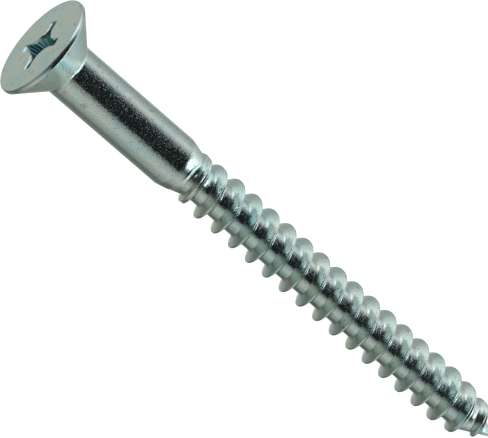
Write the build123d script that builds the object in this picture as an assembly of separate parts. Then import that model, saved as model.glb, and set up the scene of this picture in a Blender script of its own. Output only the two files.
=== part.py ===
from build123d import *
import math
import os

os.makedirs("parts", exist_ok=True)

# Flat-head wood screw, millimetres. The head's flat face lies on z = 0 and the
# axis runs down to the tip on -Z. Depths below are measured down from the face.

# Head
face_r = 5.06            # flat of the face, inside the rounded rim
rim_r = 5.29             # widest radius, the rim land
rim_top = 0.22           # where the rim's rounding ends
rim_bottom = 0.445       # sharp lower edge of the land
head_depth = 3.53        # countersink cone meets the shank here

# Smooth shank and its rolled shoulder
shank_r = 2.67
shank_end = 17.30
shoulder = [(2.59, 17.72), (2.46, 18.22), (2.30, 18.83), (2.10, 19.43), (1.87, 20.05)]
core_start = 20.75

# Thread: right-hand, 11 turns per inch
pitch = 25.4 / 11
core_r = 1.75
crest_r = 2.715
crest_half = 0.075       # half width of the crest's flat
flank_deg = 29.0         # each flank, from the plane across the axis
first_crest = 23.84      # depth of one full crest on the +X side
bury = 0.16              # how far the ridge's foot is sunk into the core
points_per_turn = 20

# Crest radius against depth where it is not full
run_in_crest = [(18.0, 2.36), (19.3, 2.42), (20.4, 2.46), (21.5, 2.57), (22.6, 2.70), (23.2, crest_r)]
run_out_crest = [(55.0, crest_r), (56.17, 2.53), (57.33, 2.43), (58.48, 2.16), (59.64, 1.28),
                 (60.6, 0.52)]

# Gimlet point
cone_start = 57.75
tip_flat_r = 0.07
length = 61.5

# Cross recess: a cross of four wings whose inner corners are large fillets
recess_deg = 26.0        # turn of the first wing from +X
wing_tip_r = 2.72
wing_width = 0.76
nose_fillet = 1.70       # inner corner between two wings
floor_depth = 2.30       # where the wings end
floor_tip_r = 1.25
floor_width = 0.60
floor_fillet = 0.62
hub_r = 0.80             # drilled-looking cone at the bottom
hub_depth = 2.20
recess_depth = 2.80

# Depths of the planes the screw is divided at
neck_end = 22.0
thread_end = 55.2

# Stretch of ridge on each threaded section, in turns below first_crest. A stretch
# runs past the planes its section is cut at, except at the ridge's own two ends.
neck_turns = (-2.45, 0.0)
thread_turns = (-1.6, 14.4)
point_turns = (13.0, 15.9)


def lerp(table, x):
    """Straight-line value of a depth table at x, held level past its ends."""
    if x <= table[0][0]:
        return table[0][1]
    for (x0, y0), (x1, y1) in zip(table, table[1:]):
        if x <= x1:
            return y0 + (y1 - y0) * (x - x0) / (x1 - x0)
    return table[-1][1]


def core_at(depth):
    """Radius of the turned body under the thread."""
    body = [(r_depth, r) for r, r_depth in [(shank_r, shank_end)] + shoulder]
    body += [(core_start, core_r), (cone_start, core_r), (length, tip_flat_r)]
    return lerp(body, depth)


def crest_at(depth):
    """Radius of the ridge's crest."""
    if depth < 40:
        return lerp(run_in_crest, depth)
    return lerp(run_out_crest, depth)


def body_of_revolution():
    """Head, shank, shoulder, core and cone as one turned solid."""
    with BuildPart() as body:
        with BuildSketch(Plane.XZ):
            with BuildLine():
                Line((0, 0), (face_r, 0))
                ThreePointArc((face_r, 0), (face_r + 0.16, -0.066), (rim_r, -rim_top))
                Line((rim_r, -rim_top), (rim_r, -rim_bottom))
                Line((rim_r, -rim_bottom), (shank_r, -head_depth))
                Line((shank_r, -head_depth), (shank_r, -shank_end))
                knots = [(shank_r, -shank_end)] + [(r, -d) for r, d in shoulder] + [(core_r, -core_start)]
                Spline(*knots, tangents=[(0, -1), (0, -1)])
                Line((core_r, -core_start), (core_r, -cone_start))
                Line((core_r, -cone_start), (tip_flat_r, -length))
                Line((tip_flat_r, -length), (0, -length))
                Line((0, -length), (0, 0))
            make_face()
        revolve(axis=Axis.Z)
    return body.part


def ridge_corners(turn):
    """The four corners of the ridge's section, turn counted down from first_crest."""
    depth = first_crest + pitch * turn
    angle = -2 * math.pi * turn
    crest = crest_at(depth)
    slope = math.tan(math.radians(flank_deg))
    corners = []
    for side in (-1, 1):
        foot_half = crest_half + slope * (crest - core_at(depth) + bury)
        foot = max(min(core_at(depth + side * foot_half), core_at(depth)) - bury, 0.03)
        foot_half = crest_half + slope * (crest - foot)
        corners.append((foot, depth + side * foot_half))
        corners.append((crest, depth + side * crest_half))
    order = [corners[0], corners[1], corners[3], corners[2]]
    return [Vector(r * math.cos(angle), r * math.sin(angle), -d) for r, d in order]


def corner_edges(start, stop):
    """One spline per corner of the section, over one stretch of the ridge."""
    count = max(4, round((stop - start) * points_per_turn))
    turns = [start + (stop - start) * i / count for i in range(count + 1)]
    rows = [ridge_corners(turn) for turn in turns]
    step = 0.002
    edges = []
    for k in range(4):
        ends = []
        for turn in (start, stop):
            ahead = ridge_corners(turn + step)[k]
            behind = ridge_corners(turn - step)[k]
            ends.append((ahead - behind).normalized())
        edges.append(Edge.make_spline([row[k] for row in rows], tangents=ends))
    return edges


def end_cap(turn):
    """Flat face that closes one end of the ridge."""
    corners = ridge_corners(turn)
    return Face(Wire.make_polygon(corners, close=True))


def thread_ridge(first, last):
    """A stretch of the ridge as a closed solid, a strip of faces for every turn."""
    whole = math.ceil(last - first)
    stops = [first + (last - first) * i / whole for i in range(whole + 1)]
    faces = []
    for start, stop in zip(stops, stops[1:]):
        edges = corner_edges(start, stop)
        for k in range(4):
            faces.append(Face.make_surface_from_curves(edges[k], edges[(k + 1) % 4]))
    faces.append(end_cap(first))
    faces.append(end_cap(last))
    return Solid(Shell(faces))


def cross_sketch(depth, tip_r, width, fillet_r):
    """The recess's outline at one depth, with its inner corners rounded."""
    with BuildSketch(Plane.XY.offset(-depth).rotated((0, 0, recess_deg))) as outline:
        Rectangle(2 * tip_r, width)
        Rectangle(width, 2 * tip_r)
        inner = [v for v in outline.vertices() if Vector(v.X, v.Y).length < width]
        fillet(inner, fillet_r)
    return outline.sketch


def recess_tool():
    """What the cross recess removes: a tapering cross and a cone under it."""
    with BuildPart() as tool:
        add(cross_sketch(0, wing_tip_r, wing_width, nose_fillet))
        add(cross_sketch(floor_depth, floor_tip_r, floor_width, floor_fillet))
        loft()
        with BuildSketch(Plane.XZ):
            with BuildLine():
                Polyline((0, -hub_depth), (hub_r, -hub_depth), (0, -recess_depth), (0, -hub_depth))
            make_face()
        revolve(axis=Axis.Z)
    return tool.part


def section(solid, top, bottom):
    """The stretch of a solid between two depths."""
    slab = Pos(0, 0, -(top + bottom) / 2) * Cylinder(8, bottom - top)
    return solid & slab


def threaded_section(turned, turns, top, bottom):
    """A stretch of the turned body with its ridge."""
    joined = section(turned, top, bottom) + thread_ridge(*turns)
    return section(joined, top, bottom)


turned = body_of_revolution()
head = section(turned, 0, head_depth) - recess_tool()
shank = section(turned, head_depth, shank_end)
neck = threaded_section(turned, neck_turns, shank_end, neck_end)
thread = threaded_section(turned, thread_turns, neck_end, thread_end)
point = threaded_section(turned, point_turns, thread_end, length)

export_step(head, "parts/head.step")
export_step(shank, "parts/shank.step")
export_step(neck, "parts/neck.step")
export_step(thread, "parts/thread.step")
export_step(point, "parts/point.step")
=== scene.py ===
import math

import bmesh
import bpy
from mathutils import Matrix, Vector


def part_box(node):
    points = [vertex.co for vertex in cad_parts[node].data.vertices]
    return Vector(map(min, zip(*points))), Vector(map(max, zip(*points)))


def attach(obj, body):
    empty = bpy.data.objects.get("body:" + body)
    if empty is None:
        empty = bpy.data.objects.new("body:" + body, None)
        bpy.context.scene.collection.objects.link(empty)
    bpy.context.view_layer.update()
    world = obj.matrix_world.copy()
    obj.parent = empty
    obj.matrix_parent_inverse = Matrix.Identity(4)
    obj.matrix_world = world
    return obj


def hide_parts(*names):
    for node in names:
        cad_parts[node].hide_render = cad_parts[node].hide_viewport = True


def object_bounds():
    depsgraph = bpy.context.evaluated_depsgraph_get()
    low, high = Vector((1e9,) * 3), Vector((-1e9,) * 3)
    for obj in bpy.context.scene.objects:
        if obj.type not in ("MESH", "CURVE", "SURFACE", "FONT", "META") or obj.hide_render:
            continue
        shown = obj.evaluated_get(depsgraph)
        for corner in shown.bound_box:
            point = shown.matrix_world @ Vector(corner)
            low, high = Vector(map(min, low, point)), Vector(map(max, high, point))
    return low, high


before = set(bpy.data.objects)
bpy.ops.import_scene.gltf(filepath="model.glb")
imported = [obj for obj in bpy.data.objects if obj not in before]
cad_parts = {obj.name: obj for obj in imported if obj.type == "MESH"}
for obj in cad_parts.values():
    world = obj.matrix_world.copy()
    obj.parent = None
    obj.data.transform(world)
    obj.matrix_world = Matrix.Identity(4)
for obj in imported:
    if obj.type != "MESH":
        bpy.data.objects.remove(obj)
cad_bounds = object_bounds()

# Shapes are worked out in millimetres, as a radius at a depth below the head's face, and
# written to the meshes in metres.
MM = 0.001
LOW, HIGH = cad_bounds
FACE_Z = HIGH[2] / MM


def depth_of(node):
    """Depths of a CAD section's top and bottom below the face."""
    low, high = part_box(node)
    return FACE_Z - high[2] / MM, FACE_Z - low[2] / MM


def radius_of(node):
    """Radius of a CAD section at its widest."""
    low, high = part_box(node)
    return (high[0] - low[0]) / 2 / MM


RIM_R = radius_of("head")
SHANK_R = radius_of("shank")
CREST_R = radius_of("thread")
HEAD_DEPTH = depth_of("head")[1]
SHANK_END = depth_of("shank")[1]
NECK_END = depth_of("neck")[1]
THREAD_END = depth_of("thread")[1]
LENGTH = depth_of("point")[1]

COLUMNS = 192                # points around a smooth section
STEPS = 128                  # points around one turn of thread


# ---------------------------------------------------------------- small helpers

def smooth(edge0, edge1, x):
    """Smoothstep from 0 at edge0 to 1 at edge1."""
    k = min(max((x - edge0) / (edge1 - edge0), 0.0), 1.0)
    return k * k * (3 - 2 * k)


def hermite(table, x):
    """Smooth curve through a list of (x, y), level past its ends."""
    if x <= table[0][0]:
        return table[0][1]
    if x >= table[-1][0]:
        return table[-1][1]
    slopes = []
    for i in range(len(table)):
        a = table[max(i - 1, 0)]
        b = table[min(i + 1, len(table) - 1)]
        slopes.append((b[1] - a[1]) / (b[0] - a[0]))
    for i in range(len(table) - 1):
        x0, y0 = table[i]
        x1, y1 = table[i + 1]
        if x <= x1:
            h = x1 - x0
            k = (x - x0) / h
            return (y0 * (1 + 2 * k) * (1 - k) ** 2 + slopes[i] * h * k * (1 - k) ** 2
                    + y1 * k * k * (3 - 2 * k) - slopes[i + 1] * h * k * k * (1 - k))


def soft_max(a, b, k):
    """The larger of two numbers, with a rounded corner of size k."""
    h = max(k - abs(a - b), 0.0) / k
    return max(a, b) + h * h * k / 4


def soft_min(a, b, k):
    """The smaller of two numbers, rounded in the same way."""
    return -soft_max(-a, -b, k)


def new_object(name, bm, node):
    """Writes a bmesh to an object that stands for one CAD node."""
    bmesh.ops.recalc_face_normals(bm, faces=bm.faces)
    mesh = bpy.data.meshes.new(name)
    bm.to_mesh(mesh)
    bm.free()
    piece = bpy.data.objects.new(name, mesh)
    bpy.context.scene.collection.objects.link(piece)
    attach(piece, "root")
    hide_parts(node)
    return piece


def outline_loop(bm, outline, depth):
    """A loop of vertices along an outline, at one depth."""
    return [bm.verts.new((x * MM, y * MM, (FACE_Z - depth) * MM)) for x, y in outline]


def bridge(bm, upper, lower, material=0):
    """Quads between two loops of the same length."""
    count = len(upper)
    for i in range(count):
        face = bm.faces.new((upper[i], lower[i], lower[(i + 1) % count], upper[(i + 1) % count]))
        face.smooth = True
        face.material_index = material


def cap(bm, loop, depth):
    """A flat fan over a loop, with a sharp edge round it."""
    centre = bm.verts.new((0, 0, (FACE_Z - depth) * MM))
    for i in range(len(loop)):
        a, b = loop[i], loop[(i + 1) % len(loop)]
        bm.faces.new((a, b, centre))
        bm.edges.get((a, b)).smooth = False


# ---------------------------------------------------------------- head and recess

FACE_R = 5.06                # where the face's rounded edge starts
RIM_TOP = 0.22               # the rim's straight stretch, from this depth
RIM_BOTTOM = 0.445           # to this one
RIM_EDGE_R = 0.06            # rounded corner between the rim and the cone
CONE_FILLET_R = 0.40         # fillet where the cone meets the shank

RECESS_DEG = 26.0            # turn of the cross from +X towards +Y
WING_R = 2.72                # reach of a wing at the mouth
WING_HALF = 0.38             # half its width
NOSE_R = 1.70                # rounded corner between two wings
CORNER_R = 0.10              # rounded corners at a wing's end
FLOOR_DEPTH = 2.30           # where the walls end, with the cross's smaller outline there
FLOOR_R = 1.25
FLOOR_HALF = 0.30
FLOOR_NOSE_R = 0.62
RECESS_DEPTH = 2.80          # the floor's lowest point
EDGE_OUT = (0.05, 0.22)      # least and most width of the rolled edge round the recess's mouth
EDGE_DROP = 0.13             # its depth
EDGE_DEG = -64.0             # the way the walls with the widest edge face, from +X towards +Y


def cross_quadrant(tip_r, half, nose_r, corner_r):
    """Outline from the middle of one wing's tip round to the middle of the next."""
    start = tip_r - corner_r
    stop = half + nose_r
    points = []
    for i in range(5):
        points.append((tip_r, (half - corner_r) * i / 4))
    for i in range(1, 6):
        a = math.pi / 2 * i / 5
        points.append((start + corner_r * math.cos(a), half - corner_r + corner_r * math.sin(a)))
    for i in range(1, 5):
        points.append((start + (stop - start) * i / 4, half))
    for i in range(1, 11):
        a = math.pi / 4 * i / 10
        points.append((stop - nose_r * math.sin(a), stop - nose_r * math.cos(a)))
    mirrored = [(y, x) for x, y in reversed(points[1:-1])]
    return points + mirrored


def cross_outline(tip_r, half, nose_r, corner_r):
    """The whole outline, four quadrants turned to the recess's angle."""
    outline = []
    quadrant = cross_quadrant(tip_r, half, nose_r, corner_r)
    for quarter in range(4):
        turn = math.radians(RECESS_DEG) + quarter * math.pi / 2
        c, s = math.cos(turn), math.sin(turn)
        outline += [(x * c - y * s, x * s + y * c) for x, y in quadrant]
    return outline


def edge_outline(share):
    """Outline at a share of the rolled edge's width. The punch left the edge widest on the walls
    that face one way."""
    mouth = cross_outline(WING_R, WING_HALF, NOSE_R, CORNER_R)
    narrow, out = EDGE_OUT
    wide = cross_outline(WING_R + out, WING_HALF + out, NOSE_R - out, CORNER_R + out)
    facing = math.radians(EDGE_DEG)
    outline = []
    for (mx, my), (wx, wy) in zip(mouth, wide):
        span = math.hypot(mx - wx, my - wy)
        toward = ((mx - wx) * math.cos(facing) + (my - wy) * math.sin(facing)) / span
        width = narrow + (out - narrow) * smooth(0.70, 0.95, toward)
        k = share * width / out
        outline.append((mx + (wx - mx) * k, my + (wy - my) * k))
    return outline


def head_profile():
    """Outside of the head below its flat, as (radius, depth)."""
    profile = []
    for i in range(1, 9):
        a = math.pi / 2 * i / 8
        profile.append((FACE_R + (RIM_R - FACE_R) * math.sin(a), RIM_TOP * (1 - math.cos(a))))
    profile.append((RIM_R, (RIM_TOP + RIM_BOTTOM) / 2))
    cone = math.atan2(RIM_R - SHANK_R, HEAD_DEPTH - RIM_BOTTOM)
    corner_depth = RIM_BOTTOM - RIM_EDGE_R * 0.4
    for i in range(5):
        a = cone * i / 4
        profile.append((RIM_R - RIM_EDGE_R * (1 - math.cos(a)), corner_depth + RIM_EDGE_R * math.sin(a)))
    r0, d0 = profile[-1]
    reach = CONE_FILLET_R * math.tan(cone / 2)
    r1 = SHANK_R + reach * math.sin(cone)
    d1 = HEAD_DEPTH - reach - reach * math.cos(cone)
    rows = 24
    for i in range(1, rows + 1):
        k = i / rows
        profile.append((r0 + (r1 - r0) * k, d0 + (d1 - d0) * k))
    for i in range(1, 6):
        a = cone * (1 - i / 5)
        profile.append((SHANK_R + CONE_FILLET_R * (1 - math.cos(a)),
                        HEAD_DEPTH - CONE_FILLET_R * math.sin(a)))
    return profile


def outside_loops(bm):
    """Loops from the shank up the cone and the rim, then across the face to the rolled edge."""
    lip = edge_outline(1.0)
    first = math.atan2(lip[0][1], lip[0][0])
    circle = []
    for i in range(len(lip)):
        angle = first + 2 * math.pi * i / len(lip)
        circle.append((math.cos(angle), math.sin(angle)))
    loops = []
    for r, d in reversed(head_profile()):
        loops.append(outline_loop(bm, [(x * r, y * r) for x, y in circle], d))
    for k in (1.0, 0.97, 0.85, 0.6, 0.35, 0.15, 0.04, 0.0):
        points = []
        for (cx, cy), (lx, ly) in zip(circle, lip):
            points.append((lx + (cx * FACE_R - lx) * k, ly + (cy * FACE_R - ly) * k))
        loops.append(outline_loop(bm, points, 0))
    return loops


def edge_loops(bm):
    """Loops down the rolled edge, a slope with its corners rounded, as shares of its width and depth."""
    shares = ((0.92, 0.02), (0.84, 0.08), (0.55, 0.38), (0.26, 0.68), (0.12, 0.84), (0.0, 1.0))
    return [outline_loop(bm, edge_outline(out), EDGE_DROP * drop) for out, drop in shares]


def recess_loops(bm):
    """Loops down the recess's walls and in across its dished floor."""
    loops = []
    rows = 14
    for i in range(1, rows + 1):
        k = i / rows
        points = cross_outline(WING_R + (FLOOR_R - WING_R) * k, WING_HALF + (FLOOR_HALF - WING_HALF) * k,
                               NOSE_R + (FLOOR_NOSE_R - NOSE_R) * k, CORNER_R)
        loops.append(outline_loop(bm, points, EDGE_DROP + (FLOOR_DEPTH - EDGE_DROP) * k))
    floor = cross_outline(FLOOR_R, FLOOR_HALF, FLOOR_NOSE_R, CORNER_R)
    for k in (0.75, 0.5, 0.25):
        points = [(x * k, y * k) for x, y in floor]
        loops.append(outline_loop(bm, points, RECESS_DEPTH - (RECESS_DEPTH - FLOOR_DEPTH) * k))
    return loops


def make_head():
    """The head, with one finish outside (slot 0) and another inside the recess (slot 1), for the recess's
    plating with its painted shade.
    """
    bm = bmesh.new()
    outside = outside_loops(bm) + edge_loops(bm)
    inside = outside[-1:] + recess_loops(bm)
    for finish, loops in enumerate((outside, inside)):
        for upper, lower in zip(loops, loops[1:]):
            bridge(bm, upper, lower, finish)
    cap(bm, outside[0], HEAD_DEPTH)
    centre = bm.verts.new((0, 0, (FACE_Z - RECESS_DEPTH) * MM))
    last = inside[-1]
    for i in range(len(last)):
        face = bm.faces.new((last[i], last[(i + 1) % len(last)], centre))
        face.smooth = True
        face.material_index = 1
    return new_object("head_skin", bm, "head")


# ---------------------------------------------------------------- smooth shank

def make_shank():
    """The plain cylinder, capped at both ends."""
    bm = bmesh.new()
    circle = []
    for i in range(COLUMNS):
        angle = 2 * math.pi * i / COLUMNS
        circle.append((SHANK_R * math.cos(angle), SHANK_R * math.sin(angle)))
    rows = 60
    loops = []
    for i in range(rows + 1):
        loops.append(outline_loop(bm, circle, HEAD_DEPTH + (SHANK_END - HEAD_DEPTH) * i / rows))
    for upper, lower in zip(loops, loops[1:]):
        bridge(bm, upper, lower)
    cap(bm, loops[0], HEAD_DEPTH)
    cap(bm, loops[-1], SHANK_END)
    return new_object("shank_skin", bm, "shank")


# ---------------------------------------------------------------- thread

PITCH = 25.4 / 11
FIRST_CREST = 23.84          # depth of a full crest on the +X side
CORE_R = 1.75
CONE_START = 57.75           # where the core starts to narrow to the point
TIP_R = 0.07                 # the cone's radius at the very tip
CREST_HALF = 0.085           # half the width of the crest's flat
PRESSED = 0.10               # what the pressed first and last turns add to it on each side
CREST_TILT = 0.12            # how far the flat falls away towards the tip, per length
FOLD_DEPTH = 0.022           # the fold along the middle of the flat
FOLD_SHARE = 0.45            # its width, as a share of the flat's half width
HEAD_FLANK = math.tan(math.radians(29.0))  # run of a flank along the axis, per height
TIP_FLANK = math.tan(math.radians(25.5))
CREST_ROUND = 0.05           # rounding at the flat's edges
HEAD_FILLET = 0.14           # fillets at the flanks' feet
TIP_FILLET = 0.24
FOOT_SPREAD = 0.16           # reach of the closer samples round a foot
FOOT_ROOM = 0.25             # room kept between a foot and the line half way to the next turn
SHOULDER_ROWS = 22.5         # rows above this depth sample the pressed edge

# Curves as (depth, radius): the body under the thread, and the crest's start and end
SHOULDER = [(SHANK_END - 1.0, SHANK_R), (SHANK_END, SHANK_R), (17.45, 2.652), (17.75, 2.58), (18.22, 2.46),
            (18.83, 2.30), (19.43, 2.10), (20.05, 1.87), (20.75, CORE_R), (21.5, CORE_R)]
RUN_IN = [(18.2, 2.12), (19.0, 2.36), (19.6, 2.45), (19.85, 2.48), (20.5, 2.50), (21.5, 2.57), (22.6, 2.70),
          (23.2, CREST_R)]
RUN_OUT = [(55.0, CREST_R), (56.17, 2.53), (57.33, 2.43), (58.48, 2.16), (59.64, 1.28), (60.6, 0.52)]
# How late the first turn's crest comes, as (depth, lag)
LAG = [(19.36, 0.38), (19.85, 0.02), (20.37, 0.18), (21.4, 0.0)]
# The edge that the dies pressed across the shoulder, as (depth past the edge, height)
CREASE = [(-0.12, 0.0), (-0.03, 0.022), (0.04, 0.028), (0.62, -0.13), (0.75, -0.14), (1.25, -0.03),
          (1.55, 0.0)]


def body_r(depth):
    """Radius of the turned body under the thread."""
    if depth < 30:
        return hermite(SHOULDER, depth)
    cone = CORE_R - (depth - CONE_START) * (CORE_R - TIP_R) / (LENGTH - CONE_START)
    return max(soft_min(CORE_R, cone, 0.05), 0.03)


def crest_r(depth):
    """Radius of the crest."""
    return hermite(RUN_IN, depth) if depth < 40 else hermite(RUN_OUT, depth)


def crest_half(depth):
    """Half width of the crest's flat, wider where the first and last turns were pressed flat."""
    first = PRESSED * (1 - smooth(20.5, 23.5, depth))
    last = PRESSED * smooth(53.0, 57.0, depth) * (1 - smooth(58.8, 60.0, depth))
    return CREST_HALF + first + last


def fold_depth(depth):
    """Depth of the fold along the crest, deeper in the first and last turns."""
    first = 0.06 * (1 - smooth(21.0, 24.5, depth))
    last = 0.07 * smooth(54.0, 57.0, depth) * (1 - smooth(59.0, 60.2, depth))
    return FOLD_DEPTH + first + last


def crease_depth(azimuth):
    """Where the pressed edge crosses the shoulder. Azimuths are degrees from -Y towards +X."""
    return 18.34 + 0.45 * smooth(5, 40, azimuth)


def crease_height(depth, azimuth):
    """How far the pressed edge stands from the shoulder. It shows on the front half only."""
    if depth > NECK_END:
        return 0.0
    fade = 1 - smooth(55, 110, abs(azimuth))
    return hermite(CREASE, depth - crease_depth(azimuth)) * fade


def profile_offsets(depth, azimuth, up, down):
    """Offsets along the axis at which one row samples the thread, closest at its corners. A row
    starts half way up to the turn above and ends past the foot of its tip-side flank, from where
    thread_skin joins it to the row one turn below."""
    half = crest_half(depth)
    height = max(crest_r(depth) - body_r(depth), 0.0)
    inner = half + CREST_ROUND
    across = [-up, 0.0]
    feet = []
    for flank, way in ((HEAD_FLANK, -1), (TIP_FLANK, 1)):
        foot = min(half + flank * height, min(up, down) - FOOT_ROOM)
        last = max(foot - FOOT_SPREAD * 1.1, inner + 0.02)
        side = [foot + FOOT_SPREAD * k for k in (1.1, 0.55, 0.0, -0.5)]
        side += [last, inner + (last - inner) * 0.66, inner + (last - inner) * 0.33]
        side += [inner, half + 0.018, half - 0.012, half * 0.66, half * 0.33]
        across += [way * s for s in side]
        feet.append(foot)
    # Seven more samples: at the pressed edge on the shoulder, and spread over the root elsewhere
    if depth < SHOULDER_ROWS:
        edge = min(max(crease_depth(azimuth) - depth, 0.2 - up), down - 0.2)
        across += [edge + step for step in (-0.08, -0.04, 0.0, 0.04, 0.08, 0.12, 0.18)]
    else:
        across += [-feet[0] - (up - feet[0]) * i / 8 for i in range(1, 8)]
    return sorted(across)


def section_r(depth, offset, azimuth):
    """Radius of the surface at an offset along the axis from the crest at depth."""
    half = crest_half(depth)
    fold = fold_depth(depth) * math.exp(-(offset / (FOLD_SHARE * half)) ** 2)
    top = crest_r(depth) - CREST_TILT * (offset + half) - fold
    slope = HEAD_FLANK if offset < 0 else TIP_FLANK
    flank = crest_r(depth) - (abs(offset) - half) / slope
    ridge = soft_min(top, flank, CREST_ROUND)
    body = body_r(depth + offset) + crease_height(depth + offset, azimuth)
    return soft_max(ridge, body, HEAD_FILLET if offset < 0 else TIP_FILLET)


def ridge_depth(step):
    """Depth of the crest at a step along the helix, with the late start of its first turn."""
    depth = FIRST_CREST + PITCH * step / STEPS
    return depth + hermite(LAG, depth)


def thread_skin():
    """The skin from the shank's end to past the tip, as one helical strip."""
    first = math.floor((SHANK_END - PITCH - FIRST_CREST) / PITCH * STEPS)
    last = math.ceil((LENGTH + PITCH - FIRST_CREST) / PITCH * STEPS)
    bm = bmesh.new()
    rows = []
    for i in range(first, last + 1):
        depth = ridge_depth(i)
        up = (depth - ridge_depth(i - STEPS)) / 2
        down = (ridge_depth(i + STEPS) - depth) / 2
        angle = -2 * math.pi * i / STEPS
        azimuth = (math.degrees(angle) + 270) % 360 - 180
        row = []
        for offset in profile_offsets(depth, azimuth, up, down):
            r = section_r(depth, offset, azimuth)
            row.append(bm.verts.new((r * math.cos(angle) * MM, r * math.sin(angle) * MM,
                                     (FACE_Z - depth - offset) * MM)))
        rows.append(row)
    across = len(rows[0])
    for i in range(len(rows) - 1):
        here, ahead = rows[i], rows[i + 1]
        for j in range(across - 1):
            bm.faces.new((here[j], here[j + 1], ahead[j + 1], ahead[j])).smooth = True
        if i + 1 + STEPS < len(rows):
            below, below_ahead = rows[i + STEPS][0], rows[i + 1 + STEPS][0]
            bm.faces.new((here[-1], below, below_ahead, ahead[-1])).smooth = True
    return bm


def cut_skin(skin, top, bottom):
    """The stretch of a skin between two depths, closed with flat ends."""
    bm = skin.copy()
    for depth, side in ((top, 1), (bottom, -1)):
        geometry = bm.verts[:] + bm.edges[:] + bm.faces[:]
        bmesh.ops.bisect_plane(bm, geom=geometry, dist=1e-9, plane_co=(0, 0, (FACE_Z - depth) * MM),
                               plane_no=(0, 0, side), clear_outer=True)
    for depth in (top, bottom):
        z = (FACE_Z - depth) * MM
        border = [e for e in bm.edges if e.is_boundary and all(abs(v.co.z - z) < 1e-7 for v in e.verts)]
        centre = bm.verts.new((0, 0, z))
        for edge in border:
            a, b = edge.verts
            bm.faces.new((a, b, centre))
            edge.smooth = False
    return bm


def make_thread():
    """The neck, the full thread and the point, cut from one skin."""
    skin = thread_skin()
    neck = new_object("neck_skin", cut_skin(skin, SHANK_END, NECK_END), "neck")
    thread = new_object("thread_skin", cut_skin(skin, NECK_END, THREAD_END), "thread")
    point = new_object("point_skin", cut_skin(skin, THREAD_END, LENGTH), "point")
    skin.free()
    return [neck, thread, point]


# ---------------------------------------------------------------- shader nodes

class Graph:
    """Adds nodes to a material or a world, and links each as it comes."""

    def __init__(self, owner):
        owner.use_nodes = True
        self.nodes = owner.node_tree.nodes
        self.links = owner.node_tree.links
        self.coords = self.nodes.new("ShaderNodeTexCoord")

    def feed(self, socket, value):
        """Links an output to a socket, or sets a constant on it."""
        if isinstance(value, bpy.types.NodeSocket):
            self.links.new(value, socket)
        else:
            socket.default_value = value

    def calc(self, operation, a, b=0.0):
        """One step of arithmetic."""
        node = self.nodes.new("ShaderNodeMath")
        node.operation = operation
        self.feed(node.inputs[0], a)
        self.feed(node.inputs[1], b)
        return node.outputs[0]

    def noise(self, scale, stretch=(1, 1, 1), detail=2.0, roughness=0.5):
        """Soft noise in the object's own space."""
        mapping = self.nodes.new("ShaderNodeMapping")
        mapping.inputs["Scale"].default_value = stretch
        texture = self.nodes.new("ShaderNodeTexNoise")
        texture.inputs["Scale"].default_value = scale
        texture.inputs["Detail"].default_value = detail
        texture.inputs["Roughness"].default_value = roughness
        self.feed(mapping.inputs["Vector"], self.coords.outputs["Object"])
        self.feed(texture.inputs["Vector"], mapping.outputs["Vector"])
        return texture.outputs["Fac"]

    def ramp(self, value, stops, interpolation="LINEAR"):
        """Colours along a value from 0 to 1."""
        node = self.nodes.new("ShaderNodeValToRGB")
        node.color_ramp.interpolation = interpolation
        elements = node.color_ramp.elements
        for element, (place, colour) in zip(elements, (stops[0], stops[-1])):
            element.position = place
            element.color = (*colour, 1)
        for place, colour in stops[1:-1]:
            elements.new(place).color = (*colour, 1)
        self.feed(node.inputs["Fac"], value)
        return node.outputs["Color"]

    def spread(self, value, start, stop, low=0.0, high=1.0, interpolation="LINEAR"):
        """Maps the stretch from start to stop onto low to high."""
        node = self.nodes.new("ShaderNodeMapRange")
        node.interpolation_type = interpolation
        node.inputs["From Min"].default_value = start
        node.inputs["From Max"].default_value = stop
        node.inputs["To Min"].default_value = low
        node.inputs["To Max"].default_value = high
        self.feed(node.inputs["Value"], value)
        return node.outputs["Result"]

    def mix(self, factor, a, b, blend_type="MIX"):
        """Blends two colours."""
        node = self.nodes.new("ShaderNodeMix")
        node.data_type = "RGBA"
        node.blend_type = blend_type
        self.feed(node.inputs["Factor"], factor)
        self.feed(node.inputs["A"], a)
        self.feed(node.inputs["B"], b)
        return node.outputs["Result"]

    def bump(self, height, depth_um, normal=None):
        """Relief, its depth in micrometres, on top of another normal if there is one."""
        node = self.nodes.new("ShaderNodeBump")
        node.inputs["Strength"].default_value = 1.0
        node.inputs["Distance"].default_value = depth_um * 1e-6
        self.feed(node.inputs["Height"], height)
        if normal is not None:
            self.feed(node.inputs["Normal"], normal)
        return node.outputs["Normal"]


# ---------------------------------------------------------------- material

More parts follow.
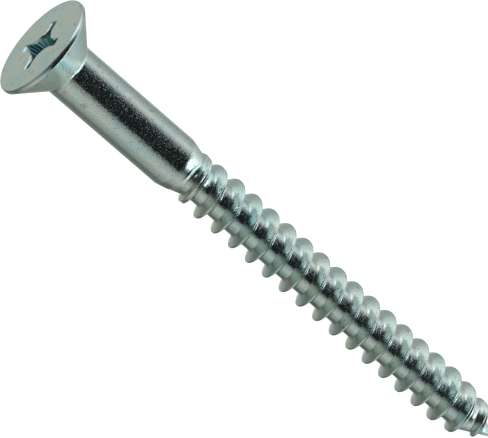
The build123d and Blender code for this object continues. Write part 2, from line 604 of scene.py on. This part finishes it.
def plated_steel(name, grain, marks, frost=0.58, polish=0.06, cloud=1.0, stains=0.62,
                 lines=(0.22, 0.22, 1.4), shade=(1, 1, 1)):
    """Bright zinc plating with a clear blue passivate.

    grain: depth of the fine speckle, in micrometres
    marks: depth of the lines that the tools left, in micrometres
    frost: a higher value leaves fewer frosted crystals
    polish: roughness between the crystals
    cloud: how blue the bluer clouds are
    stains: a higher value leaves fewer stains
    lines: stretch of the tool marks' noise along each axis
    shade: tint of painted shade multiplied over the colour; inside the recess it darkens and blues the
    plating
    """
    material = bpy.data.materials.new(name)
    graph = Graph(material)
    shader = graph.nodes["Principled BSDF"]
    shader.inputs["Metallic"].default_value = 1.0

    clean = (1, 1, 1)
    zinc = (0.62, 0.72, 0.68)
    paler = (0.67, 0.732, 0.67)
    bluer = [c + cloud * d for c, d in zip(zinc, (-0.06, -0.01, 0.02))]
    colour = graph.ramp(graph.noise(380, detail=3), [(0.34, bluer), (0.50, zinc), (0.66, paler)])
    specks = graph.ramp(graph.noise(3300, detail=1), [(0.245, (0.42, 0.43, 0.42)), (0.29, clean)])
    scuffs = graph.ramp(graph.noise(1100, detail=4, roughness=0.7),
                        [(stains, clean), (stains + 0.08, (0.68, 0.60, 0.60))])
    # The specks and stains are the plating's own marks; the shade tint is painted shade
    for layer in (specks, scuffs, (*shade, 1)):
        colour = graph.mix(1.0, colour, layer, "MULTIPLY")
    graph.feed(shader.inputs["Base Color"], colour)

    # Mostly bright, with frosted crystals that show as dots against a dark reflection
    crystals = graph.noise(7600, detail=1, roughness=0.6)
    graph.feed(shader.inputs["Roughness"], graph.spread(crystals, frost, frost + 0.15, polish, 0.42))
    normal = graph.bump(graph.noise(5200, detail=1, roughness=0.6), grain)
    normal = graph.bump(graph.noise(4600, lines, detail=2, roughness=0.6), marks, normal)
    graph.feed(shader.inputs["Normal"], normal)
    return material


# ---------------------------------------------------------------- studio

# The studio's brightness by direction. Each row is an elevation and its stops of (azimuth from -Y
# towards +X, level). The levels are not a free design: they were typed from medians that a
# measuring program took of the reference's reflections, rounded, and then partly retuned by hand.
# A dark flag stands in front, about from azimuth -20 to 40, with a tall light to the right of it.
# A second flag stands at the far left. Low down, a bright card lies to the right of the front.
STUDIO = [
    (-84, [(-180, 1.0), (-60, 2.6), (60, 2.6), (180, 1.0)]),
    (-76, [(-180, 0.42), (-150, 0.46), (-115, 0.7), (-70, 0.95), (-45, 0.82), (-10, 0.55), (10, 0.67),
          (35, 0.95), (75, 1.24), (105, 0.86), (150, 0.62), (180, 0.5)]),
    (-68, [(-180, 0.36), (-150, 0.37), (-115, 0.6), (-75, 0.72), (-50, 0.44), (-12, 0.11), (14, 0.1),
          (32, 0.24), (60, 0.7), (90, 1.07), (125, 0.93), (150, 0.65), (180, 0.46)]),
    (-58, [(-180, 0.31), (-150, 0.32), (-128, 0.5), (-85, 0.6), (-55, 0.85), (-30, 0.5), (-12, 0.2),
          (3, 0.12), (14, 0.9), (27, 3.0), (48, 2.8), (64, 2.0), (78, 2.0), (96, 0.85), (125, 0.8),
          (150, 0.58), (180, 0.42)]),
    (-50, [(-180, 0.31), (-150, 0.3), (-110, 0.32), (-68, 0.6), (-35, 0.42), (-12, 0.16), (3, 0.1),
          (14, 0.8), (27, 3.0), (48, 2.8), (64, 2.0), (80, 2.0), (98, 1.0), (125, 0.76), (150, 0.49),
          (180, 0.4)]),
    (-43, [(-180, 0.34), (-150, 0.26), (-118, 0.2), (-85, 0.48), (-52, 0.56), (-32, 0.38), (-12, 0.05),
          (6, 0.02), (24, 0.24), (48, 0.9), (88, 1.0), (125, 0.64), (150, 0.45), (180, 0.38)]),
    (-34, [(-180, 0.36), (-158, 0.26), (-148, 0.17), (-118, 0.15), (-90, 0.38), (-60, 0.55), (-38, 0.46),
          (-20, 0.22), (-8, 0.05), (4, 0.05), (20, 0.35), (40, 0.9), (80, 1.0), (105, 0.7), (150, 0.5),
          (180, 0.36)]),
    (-28, [(-180, 0.42), (-160, 0.28), (-146, 0.16), (-120, 0.12), (-92, 0.36), (-62, 0.57), (-42, 0.5),
          (-26, 0.2), (-15, 0.012), (40, 0.012), (52, 0.2), (62, 0.46), (84, 0.92), (105, 0.62),
          (128, 0.4), (160, 0.5), (180, 0.42)]),
    (-20, [(-180, 0.7), (-150, 0.3), (-120, 0.2), (-92, 0.44), (-62, 0.62), (-42, 0.57), (-27, 0.38),
          (-15, 0.015), (52, 0.018), (59, 0.12), (64, 0.34), (70, 0.5), (84, 0.66), (105, 0.48),
          (128, 0.36), (160, 0.56), (180, 0.7)]),
    (-8, [(-180, 0.6), (-160, 0.44), (-144, 0.2), (-112, 0.15), (-75, 0.42), (-50, 0.42), (-28, 0.2),
          (-14, 0.035), (30, 0.035), (44, 0.2), (62, 0.78), (80, 1.35), (95, 1.25), (125, 0.55),
          (180, 0.6)]),
    (12, [(-180, 0.54), (-160, 0.42), (-144, 0.2), (-118, 0.15), (-92, 0.38), (-65, 0.5), (-36, 0.34),
          (-14, 0.05), (30, 0.05), (44, 0.2), (60, 0.8), (82, 1.15), (105, 0.7), (150, 0.42),
          (180, 0.54)]),
    (26, [(-180, 0.53), (-158, 0.47), (-146, 0.25), (-118, 0.17), (-88, 0.34), (-60, 0.38), (-34, 0.22),
          (-14, 0.05), (34, 0.05), (48, 0.17), (60, 0.6), (72, 1.25), (86, 1.25), (105, 0.74),
          (140, 0.46), (155, 0.45), (180, 0.54)]),
    (42, [(-180, 0.42), (-150, 0.22), (-120, 0.16), (-80, 0.34), (-52, 0.3), (-32, 0.14), (-12, 0.05),
          (28, 0.05), (46, 0.12), (58, 0.55), (68, 1.4), (84, 1.4), (105, 0.82), (125, 0.76), (150, 0.5),
          (180, 0.44)]),
    (60, [(-180, 0.24), (-150, 0.28), (-108, 0.28), (-60, 0.22), (-32, 0.07), (-10, 0.02), (22, 0.03),
          (48, 0.22), (62, 1.1), (84, 1.35), (105, 1.0), (125, 1.0), (150, 0.5), (180, 0.24)]),
    (80, [(-180, 0.25), (-90, 0.18), (-40, 0.09), (10, 0.1), (60, 0.24), (90, 0.66), (120, 0.98),
          (150, 0.54), (180, 0.25)]),
]
# Colour of the light round the screw, at (azimuth, red, green, blue), from the same measurement
LIGHT_HUE = [(-180, 0.93, 0.99, 0.91), (-130, 0.90, 1.02, 0.91), (-60, 0.95, 1.0, 0.97),
             (-25, 0.94, 1.0, 0.97), (0, 0.82, 1.04, 1.08), (40, 0.90, 1.02, 1.08), (90, 0.98, 1.0, 1.02),
             (140, 0.91, 0.99, 0.97), (180, 0.93, 0.99, 0.91)]


def around(graph, azimuth, stops):
    """Colours round the screw. Each stop is an azimuth and a level or a colour."""
    placed = []
    for place, *colour in stops:
        placed.append(((place + 180) / 360, colour * 3 if len(colour) == 1 else colour))
    return graph.ramp(azimuth, placed, "EASE")


def studio_world():
    """Soft studio painted by direction: rows of colour round the screw, blended by elevation."""
    world = bpy.data.worlds.new("studio")
    bpy.context.scene.world = world
    graph = Graph(world)
    parts = graph.nodes.new("ShaderNodeSeparateXYZ")
    graph.feed(parts.inputs["Vector"], graph.coords.outputs["Generated"])
    x, y, z = parts.outputs
    turns = graph.calc("ARCTAN2", x, graph.calc("MULTIPLY", y, -1))
    azimuth = graph.calc("ADD", graph.calc("DIVIDE", turns, 2 * math.pi), 0.5)
    elevation = graph.calc("MULTIPLY", graph.calc("ARCSINE", z), 180 / math.pi)

    colour = around(graph, azimuth, STUDIO[0][1])
    for (below, _), (above, stops) in zip(STUDIO, STUDIO[1:]):
        share = graph.spread(elevation, below, above, interpolation="SMOOTHSTEP")
        colour = graph.mix(share, colour, around(graph, azimuth, stops))
    colour = graph.mix(1.0, colour, around(graph, azimuth, LIGHT_HUE), "MULTIPLY")
    # Where the camera looks past the floor, it sees plain white
    seen = graph.nodes.new("ShaderNodeLightPath").outputs["Is Camera Ray"]
    colour = graph.mix(seen, colour, (1, 1, 1, 1))
    graph.feed(graph.nodes["Background"].inputs["Color"], colour)


def make_floor():
    """A wide pale floor below the tip, left out of the metal's reflections."""
    size = 4.0
    gap = 0.05
    z = LOW[2] - gap
    mesh = bpy.data.meshes.new("floor")
    corners = [(-size, -size, z), (size, -size, z), (size, size, z), (-size, size, z)]
    mesh.from_pydata(corners, [], [(0, 1, 2, 3)])
    floor = bpy.data.objects.new("floor", mesh)
    bpy.context.scene.collection.objects.link(floor)
    material = bpy.data.materials.new("floor_white")
    material.use_nodes = True
    nodes = material.node_tree.nodes
    links = material.node_tree.links
    shader = nodes["Principled BSDF"]
    shader.inputs["Base Color"].default_value = (0.92, 0.92, 0.92, 1)
    shader.inputs["Roughness"].default_value = 0.9
    shader.inputs["Emission Color"].default_value = (1, 1, 1, 1)
    shader.inputs["Emission Strength"].default_value = 0.8
    # Clear from below, so that it doesn't hide the screw
    sides = nodes.new("ShaderNodeMixShader")
    links.new(nodes.new("ShaderNodeNewGeometry").outputs["Backfacing"], sides.inputs["Fac"])
    links.new(shader.outputs["BSDF"], sides.inputs[1])
    links.new(nodes.new("ShaderNodeBsdfTransparent").outputs["BSDF"], sides.inputs[2])
    links.new(sides.outputs["Shader"], nodes["Material Output"].inputs["Surface"])
    floor.data.materials.append(material)
    floor.visible_glossy = False


def make_camera():
    """Looks down at the screw from the -Y side, rolled so that the screw lies on a slant."""
    elevation = math.radians(24.36)
    roll = math.radians(49.06)
    face_right = -18.4 * MM      # where the centre of the face lies in the camera's view
    face_up = 15.7 * MM
    face_ahead = 362.5 * MM
    forward = Vector((0, math.cos(elevation), -math.sin(elevation)))
    level = Vector((1, 0, 0))
    rise = Vector((0, math.sin(elevation), math.cos(elevation)))
    right = level * math.cos(roll) - rise * math.sin(roll)
    up = level * math.sin(roll) + rise * math.cos(roll)
    face = Vector((0, 0, FACE_Z * MM))
    data = bpy.data.cameras.new("camera")
    data.sensor_width = 36
    data.lens = 296.1
    data.clip_start = 0.01
    camera = bpy.data.objects.new("camera", data)
    bpy.context.scene.collection.objects.link(camera)
    place = face - right * face_right - up * face_up - forward * face_ahead
    turn = Matrix((right, up, -forward)).transposed()
    camera.matrix_world = Matrix.Translation(place) @ turn.to_4x4()
    bpy.context.scene.camera = camera


make_camera()
head_plating = plated_steel("zinc_plating_head", grain=7, marks=1, frost=0.66, cloud=1.9, stains=0.585)
shank_plating = plated_steel("zinc_plating_shank", grain=14, marks=2, frost=0.535)
rolled_plating = plated_steel("zinc_plating_rolled", grain=14, marks=8)
# The recess's plating is tinted darker and bluer: painted shade inside the recess
recess_plating = plated_steel("zinc_plating_recess", grain=3, marks=1.5, frost=0.66, polish=0.20,
                              lines=(2.9, 2.9, 0.09), shade=(0.52, 0.70, 0.76))
head = make_head()
head.data.materials.append(head_plating)
head.data.materials.append(recess_plating)
make_shank().data.materials.append(shank_plating)
for piece in make_thread():
    piece.data.materials.append(rolled_plating)
studio_world()
make_floor()
bpy.context.scene.view_settings.view_transform = "Standard"

bpy.context.view_layer.update()
